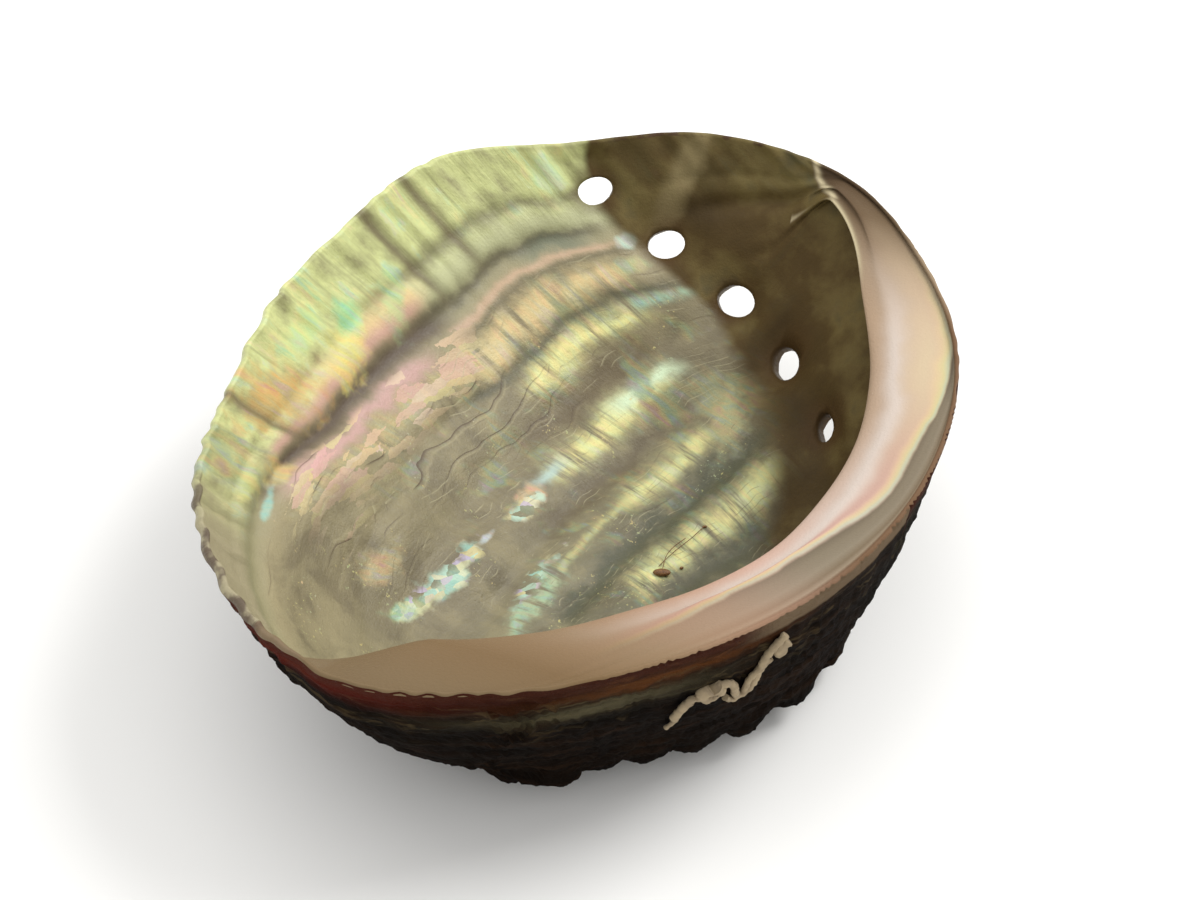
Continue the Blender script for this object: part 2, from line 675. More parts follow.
class Nodes:
    """Adds nodes to one tree. Values are numbers, vectors or sockets, and colours are as rgba takes them."""

    def __init__(self, tree):
        self.tree = tree

    def fill(self, made, inputs):
        """Fill or connect a node's inputs by name or index."""
        for key, value in inputs.items() if isinstance(inputs, dict) else enumerate(inputs):
            if isinstance(value, bpy.types.NodeSocket):
                self.tree.links.new(value, made.inputs[key])
            else:
                made.inputs[key].default_value = value

    def node(self, kind, inputs=(), settings=(), output=0):
        """Add a node and give back one of its outputs."""
        made = self.tree.nodes.new(kind)
        for name, value in dict(settings).items():
            setattr(made, name, value)
        self.fill(made, inputs)
        return made.outputs[output]

    def use(self, name, inputs, output=0):
        """Place a shared node group, made when it is first used."""
        made = self.tree.nodes.new("ShaderNodeGroup")
        made.node_tree = bpy.data.node_groups.get(name) or SHARED_GROUPS[name](name)
        self.fill(made, inputs)
        return made.outputs[output]

    def math(self, operation, *values):
        return self.node("ShaderNodeMath", values, {"operation": operation})

    def times(self, first, *others):
        for other in others:
            first = self.math("MULTIPLY", first, other)
        return first

    def plus(self, first, *others):
        for other in others:
            first = self.math("ADD", first, other)
        return first

    def minus(self, first, second):
        return self.math("SUBTRACT", first, second)

    def times_plus(self, value, factor, added):
        return self.math("MULTIPLY_ADD", value, factor, added)

    def vector(self, operation, *values, output=0):
        return self.node("ShaderNodeVectorMath", values, {"operation": operation}, output)

    def combine(self, x, y, z=0.0):
        return self.node("ShaderNodeCombineXYZ", (x, y, z))

    def part(self, vector, index):
        """One coordinate of a vector."""
        return self.node("ShaderNodeSeparateXYZ", (vector,), (), index)

    def scale(self, vector, factor):
        return self.node("ShaderNodeVectorMath", {0: vector, "Scale": factor}, {"operation": "SCALE"})

    def fade(self, value, start, end):
        """0 before start, 1 after end, smooth between; start may be the larger."""
        return self.node("ShaderNodeMapRange", {"Value": value, "From Min": start, "From Max": end},
                         {"interpolation_type": "SMOOTHSTEP"})

    def remap(self, value, start, end, first=0.0, last=1.0):
        """Spread a value between start and end evenly from first to last."""
        return self.node("ShaderNodeMapRange", {"Value": value, "From Min": start, "From Max": end,
                                                "To Min": first, "To Max": last})

    def hump(self, value, centre, width):
        """Bell-shaped mask, 1 where value is centre."""
        off = self.math("DIVIDE", self.minus(value, centre), width)
        return self.math("EXPONENT", self.times(off, off, -1.0))

    def noise(self, vector, scale, detail=2.0, roughness=0.5, distortion=0.0, output=0):
        """Soft noise from 0 to 1."""
        return self.node("ShaderNodeTexNoise", {"Vector": vector, "Scale": scale, "Detail": detail,
                                                "Roughness": roughness, "Distortion": distortion}, (), output)

    def centred(self, *noise_values):
        """Soft noise from -0.5 to 0.5."""
        return self.minus(self.noise(*noise_values), 0.5)

    def strata(self, place, detail, roughness):
        """Noise in flat lying layers."""
        flat = self.vector("MULTIPLY", place, (0.05, 0.05, 0.55))
        return self.noise(flat, 1.0, detail, roughness, 0.4)

    def cells(self, vector, warp):
        """A random number for each cell of a warped space."""
        place = self.vector("ADD", vector, warp)
        color = self.node("ShaderNodeTexVoronoi", {"Vector": place, "Scale": 1.0}, (), 1)
        return self.node("ShaderNodeSeparateColor", (color,))

    def mark(self, name):
        """A number kept on the mesh, for a material."""
        return self.node("ShaderNodeAttribute", (), {"attribute_name": name}, 2)

    def named(self, name):
        """A number kept on the mesh, for geometry nodes."""
        return self.node("GeometryNodeInputNamedAttribute", {"Name": name}, {"data_type": "FLOAT"})

    def position(self):
        """Object position in millimetres."""
        return self.scale(self.node("ShaderNodeTexCoord", (), (), 3), 1 / MM)

    def growth(self, age_scale, lip_scale):
        """Texture space that runs with the growth lines: across them by age, along them by lip position."""
        return self.combine(self.times(self.mark("age"), age_scale), self.times(self.mark("lip"), lip_scale))

    def streaks(self, age_scale, lip_scale, detail=2.0, roughness=0.5):
        """Noise drawn out along the growth lines."""
        return self.noise(self.growth(age_scale, lip_scale), 1.0, detail, roughness)

    def ramp(self, value, stops):
        """Colour ramp through (place, colour) stops."""
        made = self.tree.nodes.new("ShaderNodeValToRGB")
        self.tree.links.new(value, made.inputs[0])
        points = made.color_ramp.elements
        while len(points) < len(stops):
            points.new(0.5)
        for point, (place, color) in zip(points, stops):
            point.position = place
            point.color = rgba(color)
        return made.outputs[0]

    def mix(self, factor, first, second):
        """Mix two colours."""
        return self.node("ShaderNodeMix", {0: factor, 6: rgba(first), 7: rgba(second)},
                         {"data_type": "RGBA"}, 2)

    def paint(self, color, tone, *masks):
        """Lay a tone over a colour, as strongly as the masks and shares multiplied."""
        return self.mix(self.times(*masks), color, tone)

    def bump(self, height, distance, strength=1.0):
        """Normal bumped by a height."""
        return self.node("ShaderNodeBump", {"Height": height, "Distance": distance, "Strength": strength})


def new_tree(kind, name, inputs, outputs):
    """Node group with named sockets. The value of an input is its default, or its type where it has none."""
    tree = bpy.data.node_groups.new(name, kind)
    for label, value in inputs.items():
        socket_type = value if isinstance(value, str) else "Vector" if isinstance(value, tuple) else "Float"
        socket = tree.interface.new_socket(label, in_out="INPUT", socket_type="NodeSocket" + socket_type)
        if not isinstance(value, str):
            socket.default_value = value
    for label, socket_type in outputs.items():
        tree.interface.new_socket(label, in_out="OUTPUT", socket_type="NodeSocket" + socket_type)
    return Nodes(tree), tree.nodes.new("NodeGroupInput").outputs, tree.nodes.new("NodeGroupOutput")


def soft_patch_group(name):
    """Soft oval mask at a place in plan, with a ragged edge."""
    n, given, result = new_tree(
        "ShaderNodeTree", name,
        {"Position": "Vector", "Centre": "Vector", "Size": (10.0, 10.0, 10.0), "Turn": 0.0, "Raggedness": 0.3},
        {"Mask": "Float"})
    offset = n.vector("SUBTRACT", given["Position"], given["Centre"])
    turned = n.node("ShaderNodeVectorRotate", {"Vector": offset, "Angle": given["Turn"]},
                    {"rotation_type": "Z_AXIS"})
    flat = n.vector("MULTIPLY", n.vector("DIVIDE", turned, given["Size"]), (1.0, 1.0, 0.0))
    away = n.vector("LENGTH", flat, output=1)
    ragged = n.times(n.centred(given["Position"], 0.35, 3.0), given["Raggedness"])
    n.fill(result, {"Mask": n.fade(n.plus(away, ragged), 1.0, 0.25)})
    return n.tree


def stroke_group(name):
    """Mask of a stroke that follows one growth belt over a stretch of the lip, with a wavering edge."""
    n, given, result = new_tree(
        "ShaderNodeTree", name,
        {"Belt": 0.0, "Lip": 0.0, "At": 0.1, "Width": 0.01, "Start": 200.0, "End": 250.0, "Ragged": 0.5},
        {"Mask": "Float"})
    spot = n.combine(n.times(given["Belt"], 30.0), n.times(given["Lip"], 0.12), given["At"])
    waver = n.centred(spot, 1.0, 4.0, 0.65)
    shift = n.times(waver, given["Ragged"], n.times(given["Width"], 5.0))
    across = n.hump(n.plus(given["Belt"], shift), given["At"], given["Width"])
    start = n.fade(n.minus(given["Lip"], given["Start"]), -4.0, 4.0)
    end = n.fade(n.minus(given["Lip"], given["End"]), 4.0, -4.0)
    n.fill(result, {"Mask": n.times(across, start, end)})
    return n.tree


def shine_group(name):
    """Iridescent colours that drift from green through yellow and pink to cyan and lilac."""
    n, given, result = new_tree("ShaderNodeTree", name, {"Position": "Vector", "Scale": 1.0},
                                {"Color": "Color"})
    hue = n.noise(given["Position"], given["Scale"], 3.0, 0.5, 0.5)
    n.fill(result, {"Color": n.ramp(hue, SHINE_STOPS)})
    return n.tree


def grain_group(name):
    """Fine grain: a height for bump and a mottle mask, at a scale per millimetre."""
    n, given, result = new_tree("ShaderNodeTree", name, {"Position": "Vector", "Scale": 1.0, "Roughness": 0.6},
                                {"Height": "Float", "Mottle": "Float"})
    fine = n.noise(given["Position"], given["Scale"], 5.0, given["Roughness"])
    coarse = n.noise(given["Position"], n.times(given["Scale"], 0.12), 3.0, 0.5, 0.6)
    n.fill(result, {"Height": fine, "Mottle": n.fade(coarse, 0.38, 0.64)})
    return n.tree


SHARED_GROUPS = {"Soft Patch": soft_patch_group, "Growth Stroke": stroke_group, "Nacre Shine": shine_group,
                 "Shell Grain": grain_group}


def new_material(name):
    """Material with its nodes and its shader."""
    material = bpy.data.materials.new(name)
    material.use_nodes = True
    return material, Nodes(material.node_tree), material.node_tree.nodes["Principled BSDF"]


# Marks and colours of the nacre
STROKES = (
    # belt, half width, lip from, lip to, how ragged, colour, strength, striped
    (0.053, 0.011, 194, 238, 0.4, (206, 208, 162), 0.8, 0),
    (0.038, 0.0055, 194, 246, 0.7, (118, 112, 84), 0.7, 0),
    (0.047, 0.008, 236, 266, 0.5, (240, 208, 146), 0.8, 0),
    (0.053, 0.006, 238, 284, 0.4, (222, 176, 160), 0.85, 0),
    (0.084, 0.008, 246, 288, 0.8, (216, 174, 166), 0.9, 0),
    (0.100, 0.008, 236, 292, 1.0, (206, 184, 140), 0.75, 1),
    (0.106, 0.013, 203, 240, 0.8, (244, 212, 160), 0.9, 1),
    (0.068, 0.0085, 236, 290, 0.25, (92, 77, 63), 0.95, 0),
    (0.065, 0.0048, 200, 240, 0.8, (104, 98, 78), 0.8, 0),
    (0.070, 0.0070, 204, 216, 0.9, (112, 120, 100), 0.7, 0),
    (0.085, 0.0034, 196, 238, 0.9, (104, 96, 72), 0.6, 0),
    (0.079, 0.0030, 200, 236, 0.9, (218, 180, 150), 0.6, 0),
    (0.126, 0.0052, 196, 248, 0.8, (88, 86, 66), 0.8, 0),
    (0.145, 0.011, 207, 236, 0.6, (252, 242, 166), 1.0, 1),
    (0.137, 0.006, 192, 208, 0.5, (160, 200, 182), 0.75, 1),
    (0.180, 0.015, 210, 250, 0.7, (104, 90, 64), 0.8, 0),
    (0.218, 0.014, 215, 251, 0.5, (244, 238, 164), 1.0, 1),
    (0.212, 0.009, 211, 228, 0.6, (226, 246, 206), 1.0, 0),
    (0.214, 0.007, 247, 256, 0.8, (190, 216, 206), 0.85, 0),
    (0.258, 0.012, 216, 264, 0.9, (104, 92, 70), 0.75, 0),
    (0.300, 0.014, 219, 248, 0.5, (236, 230, 162), 1.0, 1),
    (0.298, 0.005, 246, 278, 0.7, (200, 190, 136), 0.8, 1),
    (0.297, 0.012, 276, 304, 1.0, (176, 206, 174), 0.8, 1),
    (0.345, 0.019, 210, 290, 0.8, (84, 86, 66), 0.85, 0),
    (0.392, 0.017, 210, 268, 0.5, (244, 238, 168), 1.0, 1),
    (0.437, 0.018, 210, 274, 0.9, (92, 92, 70), 0.8, 0),
)
PATCHES = (
    # place in plan, size, turn, colour, strength
    ((-42.0, -15.5), (4.6, 13.0), 0.1, (212, 152, 92), 0.9),
    ((-40.5, 2.0), (3.4, 7.0), -0.25, (250, 226, 124), 0.9),
    ((-42.5, 5.5), (2.6, 4.5), -0.3, (150, 226, 166), 0.75),
    ((-45.0, -2.0), (2.0, 9.0), -0.1, (212, 228, 150), 0.7),
    ((-39.5, 15.0), (2.6, 6.0), -0.5, (176, 212, 152), 0.7),
    ((-40.5, -31.0), (4.2, 7.5), 0.3, (170, 156, 118), 0.85),
    ((-36.5, -24.5), (1.8, 5.0), 0.1, (234, 196, 132), 0.75),
    ((-35.2, -30.5), (0.9, 4.6), -0.35, (150, 204, 206), 0.75),
    ((-37.5, -32.0), (1.5, 5.0), -0.3, (222, 214, 140), 0.7),
    ((-12.3, 6.0), (2.2, 3.8), 0.2, (220, 170, 146), 0.85),
    ((-22.5, -22.5), (2.4, 7.0), 0.15, (196, 160, 130), 0.75),
    ((-14.4, -16.5), (1.7, 7.0), 0.15, (176, 216, 200), 0.9),
    ((-17.0, -25.5), (1.6, 5.5), 0.35, (178, 204, 160), 0.85),
    ((-13.8, -6.0), (0.8, 2.6), 0.1, (214, 202, 220), 0.8),
    ((-28.5, 47.0), (2.6, 3.4), 0.6, (226, 232, 168), 0.7),
    ((-15.6, 48.2), (1.5, 2.6), 0.7, (192, 222, 220), 0.85),
    ((-13.5, 45.5), (1.6, 4.0), 0.9, (196, 200, 150), 0.6),
    ((10.0, 30.0), (4.0, 6.5), -0.5, (190, 178, 142), 0.7),
    ((-0.3, 30.2), (3.4, 4.6), -0.8, (118, 104, 86), 0.8),
    ((6.0, 34.0), (5.0, 6.0), -0.8, (184, 170, 136), 0.6),
    ((-6.0, 32.0), (2.6, 7.0), -0.9, (124, 114, 86), 0.7),
)
GLINTS = (
    # place in plan, size and turn of the broken glittering streaks
    ((-15.2, -17.0), (2.4, 12.0), 0.17),
    ((-5.0, -7.5), (1.5, 8.5), 0.1),
    ((-12.0, 3.0), (1.6, 5.0), 0.2),
)
LEDGE_STOPS = ((0.0, (126, 106, 78)), (0.07, (126, 102, 72)), (0.14, (150, 124, 95)),
               (0.24, (188, 150, 126)), (0.32, (210, 172, 154)), (0.42, (206, 180, 164)),
               (0.6, (184, 158, 134)), (0.76, (176, 150, 124)), (0.85, (158, 136, 112)),
               (0.93, (104, 84, 62)), (1.0, (80, 63, 45)))
GROUND_STOPS = ((0.0, (164, 164, 118)), (0.06, (166, 168, 120)), (0.11, (152, 148, 112)),
                (0.17, (168, 156, 120)), (0.25, (140, 130, 99)), (0.42, (136, 126, 97)),
                (0.62, (132, 126, 99)), (0.85, (116, 113, 90)))
SHINE_STOPS = ((0.3, (196, 172, 210)), (0.38, (150, 204, 208)), (0.45, (156, 218, 166)),
               (0.52, (206, 222, 140)), (0.59, (236, 212, 128)), (0.68, (226, 166, 146)),
               (0.76, (214, 160, 184)))
BLOCK_STOPS = ((0.3, (142, 132, 96)), (0.4, (190, 190, 132)), (0.5, (218, 222, 152)),
               (0.58, (238, 240, 170)), (0.68, (196, 226, 180)), (0.78, (234, 240, 194)))
GLINT_STOPS = ((0.3, (134, 150, 122)), (0.42, (206, 238, 214)), (0.54, (150, 206, 190)),
               (0.66, (236, 240, 206)), (0.8, (228, 216, 150)), (0.92, (208, 194, 222)))
FLECK_STOPS = ((0.56, (232, 184, 176)), (0.66, (232, 206, 150)), (0.75, (228, 176, 172)),
               (0.88, (222, 210, 146)), (1.0, (240, 204, 192)))
LINE_STOPS = ((0.46, (112, 98, 74)), (0.54, (196, 188, 150)))
MURK_STOPS = ((0.3, (66, 50, 27)), (0.5, (84, 66, 36)), (0.62, (110, 94, 56)), (0.75, (74, 70, 52)))
RAINBOW_STOPS = ((0.6, (214, 170, 156)), (0.63, (226, 194, 146)), (0.655, (216, 212, 140)),
                 (0.675, (172, 208, 176)), (0.7, (150, 140, 116)))
LAYER_STOPS = ((0.7, (118, 106, 88)), (0.75, (132, 120, 100)), (0.85, (142, 130, 110)),
               (0.92, (124, 108, 86)), (0.97, (152, 136, 114)), (1.0, (118, 90, 66)))


class Nacre:
    """Pearly inside of the shell, painted layer by layer."""

    def __init__(self, colors):
        self.material, n, shader = new_material("nacre")
        self.n = n
        self.colors = colors
        self.place = n.position()
        self.age, self.lip, self.belt, self.plate = (n.mark(name) for name in ("age", "lip", "belt", "plate"))
        self.drift = n.minus(n.streaks(14.0, 0.06, 4.0, 0.6), 0.5)
        warped = n.times_plus(self.drift, 0.012, self.belt)
        self.older = n.fade(warped, 0.06, 0.12)
        self.young = n.fade(warped, 0.062, 0.045)
        self.bands = n.streaks(60.0, 0.05, 5.0, 0.65)
        self.flutes = n.streaks(9.0, 0.4, 4.0, 0.65)
        self.stripes = n.streaks(7.0, 0.32, 4.0, 0.65)
        layers = n.times_plus(self.belt, 50.0, n.times(n.streaks(8.0, 0.05, 2.5, 0.45), 3.2))
        self.steps = n.math("FRACT", layers)
        self.flaky = self.flaky_mask()
        self.wall = self.wall_mask()
        self.shine = n.use("Nacre Shine", {"Position": n.growth(30.0, 0.45), "Scale": 1.0})
        color = n.ramp(n.times(warped, 2.0), GROUND_STOPS)
        for layer in (self.clouds, self.lip_band, self.markings, self.flakes, self.dark_wall, self.ledge,
                      self.rim):
            color = layer(color)
        gloss = n.use("Shell Grain", {"Position": self.place, "Scale": 2.5})
        n.fill(shader, {"Base Color": n.mix(0.14, color, (30, 22, 10)),
                        "Roughness": n.remap(gloss, 0.3, 0.7, 0.32, 0.55),
                        "Specular IOR Level": n.remap(self.wall, 0.0, 1.0, 0.35, 0.08),
                        "Normal": n.bump(self.relief(gloss), 0.0005, 0.8)})

    def patch(self, centre, size, turned, raggedness):
        """Mask of a soft patch at a place in plan."""
        return self.n.use("Soft Patch", {"Position": self.place, "Centre": (*centre, 0.0), "Size": (*size, 1.0),
                                         "Turn": turned, "Raggedness": raggedness})

    def flaky_mask(self):
        """Where thin layers have broken edges."""
        n = self.n
        zone = n.times(n.fade(self.lip, 222.0, 244.0), n.fade(self.lip, 305.0, 290.0),
                       n.fade(self.age, 0.225, 0.17))
        zone = n.math("MAXIMUM", zone, n.times(n.fade(n.noise(self.place, 0.08), 0.58, 0.66), 0.5))
        return n.times(n.fade(self.belt, 0.072, 0.082), zone, n.fade(n.streaks(15.0, 0.06), 0.43, 0.53))

    def wall_mask(self):
        """The wall beyond the keel, sharply bounded near the lip and softly where it is older."""
        n = self.n
        edge = n.times_plus(self.drift, 3.0, n.times_plus(self.age, 24.0, n.mark("keel")))
        softness = n.times_plus(n.fade(self.age, 0.12, 0.3), 2.4, 0.7)
        return n.fade(n.math("DIVIDE", edge, softness), -1.2, 1.2)

    def clouds(self, color):
        """Fine bands, clouds and a faint sheen on the older belts."""
        n = self.n
        cloud = n.noise(self.place, 0.11, 5.0, 0.6, 0.8)
        sheen = n.fade(n.streaks(22.0, 0.09, 3.0, 0.6), 0.5, 0.66)
        for tone, *masks in ((self.colors.floor_olive, n.fade(self.bands, 0.55, 0.35), 0.3),
                             ((104, 94, 73), n.fade(cloud, 0.46, 0.66), 0.55),
                             ((172, 160, 122), n.fade(cloud, 0.48, 0.34), 0.35),
                             (self.shine, sheen, n.fade(self.lip, 288.0, 262.0), 0.22)):
            color = n.paint(color, tone, self.older, *masks)
        return color

    def lip_band(self, color):
        """Pale green and yellow blocks between flutes along the lip."""
        n = self.n
        blocks = n.streaks(34.0, 0.17, 4.0, 0.6)
        band = n.mix(0.25, n.ramp(blocks, BLOCK_STOPS), self.colors.lip_green)
        band = n.paint(band, self.shine, n.fade(blocks, 0.5, 0.62), 0.35)
        band = n.paint(band, (166, 156, 124), n.fade(self.lip, 284.0, 306.0))
        color = n.paint(color, band, self.young)
        return n.paint(color, (124, 118, 86), n.fade(self.flutes, 0.54, 0.7), self.young, 0.4)

    def markings(self, color):
        """Strokes along the belts, soft patches, and grooves across the lip band."""
        n = self.n
        striped = n.fade(self.stripes, 0.32, 0.52)
        for at, width, start, end, ragged, tone, strength, broken in STROKES:
            mask = n.use("Growth Stroke", {"Belt": self.belt, "Lip": self.lip, "At": at, "Width": width,
                                           "Start": float(start), "End": float(end), "Ragged": ragged})
            if broken:
                color = n.paint(color, n.mix(0.22, tone, self.shine), mask, strength, striped)
            else:
                color = n.paint(color, tone, mask, strength)
        for centre, size, turned, tone, strength in PATCHES:
            mask = self.patch(centre, size, turned, 1.4)
            color = n.paint(color, n.mix(0.3, tone, self.shine), mask, strength)
        near_lip = n.fade(self.belt, LIP_BAND, LIP_BAND - LIP_BAND_BLEND)
        for at in GROOVES:
            color = n.paint(color, (108, 96, 70), n.hump(self.lip, at, 1.2), near_lip, 0.8)
        return color

    def flakes(self, color):
        """Glittering shards, flecks, the edges of thin layers, hair lines and chips."""
        n, belt, lip = self.n, self.belt, self.lip
        warp = n.noise(self.place, 0.5, 3.0, output=1)
        shard = n.cells(n.growth(80.0, 0.4), warp)
        for centre, size, turned in GLINTS:
            glint = self.patch(centre, size, turned, 2.0)
            color = n.paint(color, n.ramp(shard, GLINT_STOPS), glint, n.fade(shard, 0.24, 0.3), 0.8)
        fleck = n.cells(n.growth(130.0, 0.16), warp)
        flecked = n.times(n.fade(fleck, 0.56, 0.58), n.fade(belt, 0.074, 0.081), n.fade(belt, 0.128, 0.098),
                          n.fade(lip, 230.0, 242.0))
        line = n.math("FRACT", n.times_plus(belt, 120.0, n.times(n.streaks(10.0, 0.07), 5.0)))
        lined = n.times(n.fade(line, 0.22, 0.0), n.fade(belt, 0.074, 0.09),
                        n.fade(n.streaks(22.0, 0.11), 0.5, 0.6))
        before_end = n.fade(lip, 300.0, 288.0)
        chip = n.times(n.fade(n.noise(self.place, 1.5, 3.0, 0.7), 0.6, 0.68),
                       n.fade(n.noise(self.place, 0.13), 0.56, 0.64))
        for tone, *masks in ((n.ramp(fleck, FLECK_STOPS), flecked, before_end, 0.7),
                             ((88, 70, 52), n.fade(self.steps, 0.09, 0.0), self.flaky, 0.85),
                             ((216, 204, 162), n.hump(self.steps, 0.17, 0.05), self.flaky, 0.18),
                             (n.ramp(self.bands, LINE_STOPS), lined, before_end, 0.5),
                             (n.mix(0.4, (222, 206, 140), self.shine), chip, self.older, 0.7)):
            color = n.paint(color, tone, *masks)
        return color

    def dark_wall(self, color):
        """Dark olive brown beyond the keel and round the holes."""
        n = self.n
        murk = n.ramp(n.noise(self.place, 0.07, 4.0, 0.55), MURK_STOPS)
        murk = n.paint(murk, (150, 134, 96), self.patch((-10.0, 57.0), (3.0, 9.0), 0.35, 0.6), 0.6)
        color = n.paint(color, murk, self.wall, 0.96)
        by_hole = n.fade(n.times_plus(self.drift, 3.0, n.mark("hole")), 5.2, 2.6)
        return n.paint(color, (84, 62, 38), by_hole, 0.6)

    def ledge(self, color):
        """Pearly plate, a bright line at its outer edge, duller lip layers outside it, and its pointed tip."""
        n, plate = self.n, self.plate
        y = n.part(self.place, 1)
        along = n.remap(y, -58.0, 62.0)
        middle = n.times(n.fade(along, 0.1, 0.3), n.fade(along, 0.9, 0.7))
        soft = n.times_plus(n.centred(self.place, 0.09, 3.0), 0.12, plate)
        point = n.vector("DOT_PRODUCT", self.place, (1.0, 1.0, 0.0), output=1)
        inner_edge = n.times(n.hump(plate, 0.31, 0.04), n.fade(along, 0.8, 0.88), n.fade(y, 57.2, 56.4))
        point_edge = n.times(n.hump(point, 71.9, 0.6), n.fade(y, 55.8, 56.8))
        pearl = n.ramp(along, LEDGE_STOPS)
        for tone, *masks in (
                ((216, 204, 194), n.hump(soft, 0.5, 0.07), middle, 0.75),
                (self.colors.ledge_pink, n.hump(soft, 0.6, 0.045), middle, 0.7),
                ((208, 190, 156), n.fade(soft, 0.5, 0.6), n.hump(along, 0.7, 0.14), 0.85),
                (n.ramp(soft, RAINBOW_STOPS), n.fade(soft, 0.6, 0.64), n.fade(soft, 0.72, 0.69), middle, 0.4),
                (n.ramp(plate, LAYER_STOPS), n.fade(soft, 0.68, 0.71), n.fade(along, 0.08, 0.36),
                 n.fade(along, 0.9, 0.75)),
                ((206, 192, 156), n.math("MAXIMUM", inner_edge, point_edge))):
            pearl = n.paint(pearl, tone, *masks)
        tapered = n.math("MAXIMUM", n.fade(y, 56.8, 55.6), n.fade(point, 70.8, 71.6))
        return n.paint(color, pearl, n.fade(plate, 0.24, 0.29), tapered)

    def rim(self, color):
        """Brown worn edge at both ends of the lip."""
        n = self.n
        edge = n.fade(n.times_plus(self.drift, 1.2, n.mark("inset")), 0.5, 0.15)
        from_middle = n.math("ABSOLUTE", n.minus(self.lip, 240.0))
        return n.paint(color, (70, 48, 38), edge, n.fade(n.noise(self.place, 0.3, 3.0), 0.4, 0.55),
                       n.fade(self.plate, 0.9, 0.4), n.fade(from_middle, 46.0, 60.0), 0.8)

    def relief(self, gloss):
        """Height for bump: steps of thin layers, flutes, stripes and bands, not on the ledge or the wall."""
        n = self.n
        height = n.times(self.steps, self.flaky, 0.45)
        for form, zone, share in ((self.flutes, self.young, 0.9), (self.stripes, self.older, 0.4),
                                  (self.bands, self.older, 0.35)):
            height = n.times_plus(form, n.times(zone, share), height)
        height = n.times(height, n.fade(self.plate, 0.26, 0.2), n.minus(1.0, self.wall))
        return n.times_plus(gloss, 0.25, height)


def crust_material(colors):
    """Rough dark back of the shell."""
    material, n, shader = new_material("crust")
    place = n.position()
    inset, turn = n.mark("inset"), n.mark("turn")
    grain = n.use("Shell Grain", {"Position": place, "Scale": 1.6, "Roughness": 0.7})
    mottle = n.use("Shell Grain", {"Position": place, "Scale": 1.1}, 1)
    strata = n.strata(place, 5.0, 0.65)
    folds = n.noise(n.combine(n.times(inset, 0.5), n.times(turn, 0.11)), 1.0, 4.0, 0.6, 0.6)
    young = n.fade(inset, 18.0, 6.0)
    moss = n.fade(n.noise(place, 0.06, 4.0, 0.6), 0.54, 0.66)
    by_ledge = n.fade(n.math("ABSOLUTE", n.minus(turn, 350.0)), 34.0, 24.0)
    ridge = n.hump(n.times_plus(strata, 6.0, inset), 10.5, 1.8)
    rust = n.hump(n.times_plus(folds, 5.0, inset), 6.0, 1.4)
    color = n.mix(n.fade(strata, 0.42, 0.66), colors.crust_brown, (44, 28, 15))
    for tone, *masks in (
            ((10, 7, 4), mottle, 0.6),
            ((54, 48, 32), moss, young, 0.6),
            ((84, 70, 46), n.fade(folds, 0.54, 0.66), young, 0.8),
            ((12, 7, 4), n.fade(folds, 0.46, 0.36), 0.7),
            ((104, 30, 14), n.fade(inset, 8.0, 1.5), n.hump(turn, 254.0, 20.0), 0.95),
            ((82, 42, 28), n.fade(n.times_plus(strata, 3.0, inset), 5.0, 2.0), 0.75),
            ((104, 96, 70), ridge, n.hump(turn, 294.0, 16.0), 0.85),
            ((112, 66, 30), rust, n.hump(turn, 306.0, 20.0), 0.8),
            ((128, 108, 84), n.fade(n.times_plus(strata, 1.5, inset), 4.0, 3.2), by_ledge),
            ((138, 122, 98), n.fade(strata, 0.66, 0.76), 0.3)):
        color = n.paint(color, tone, *masks)
    n.fill(shader, {"Base Color": color, "Roughness": n.remap(grain, 0.0, 1.0, 0.7, 0.95),
                    "Specular IOR Level": 0.05, "Normal": n.bump(n.plus(grain, strata, folds), 0.0014)})
    return material


def chalk_material(colors):
    """Pale limy tube."""
    material, n, shader = new_material("chalk")
    place = n.position()
    grain = n.use("Shell Grain", {"Position": place, "Scale": 2.4, "Roughness": 0.7})
    mottle = n.use("Shell Grain", {"Position": place, "Scale": 4.0}, 1)
    n.fill(shader, {"Base Color": n.paint(colors.chalk, (132, 116, 92), mottle, 0.6), "Roughness": 0.85,
                    "Normal": n.bump(grain, 0.0002)})
    return material


def seed_material():
    """Brown seed husk and hairs."""
    material, n, shader = new_material("seed_husk")
    grain = n.use("Shell Grain", {"Position": n.position(), "Scale": 6.0})
    color = n.mix(n.fade(grain, 0.35, 0.65), (84, 52, 26), (140, 98, 52))
    n.fill(shader, {"Base Color": color, "Roughness": 0.5, "Normal": n.bump(grain, 0.00005)})
    return material


def geometry_tree(name, inputs):
    """Geometry node group with a Geometry socket and named inputs."""
    return new_tree("GeometryNodeTree", name, {"Geometry": "Geometry", **inputs}, {"Geometry": "Geometry"})


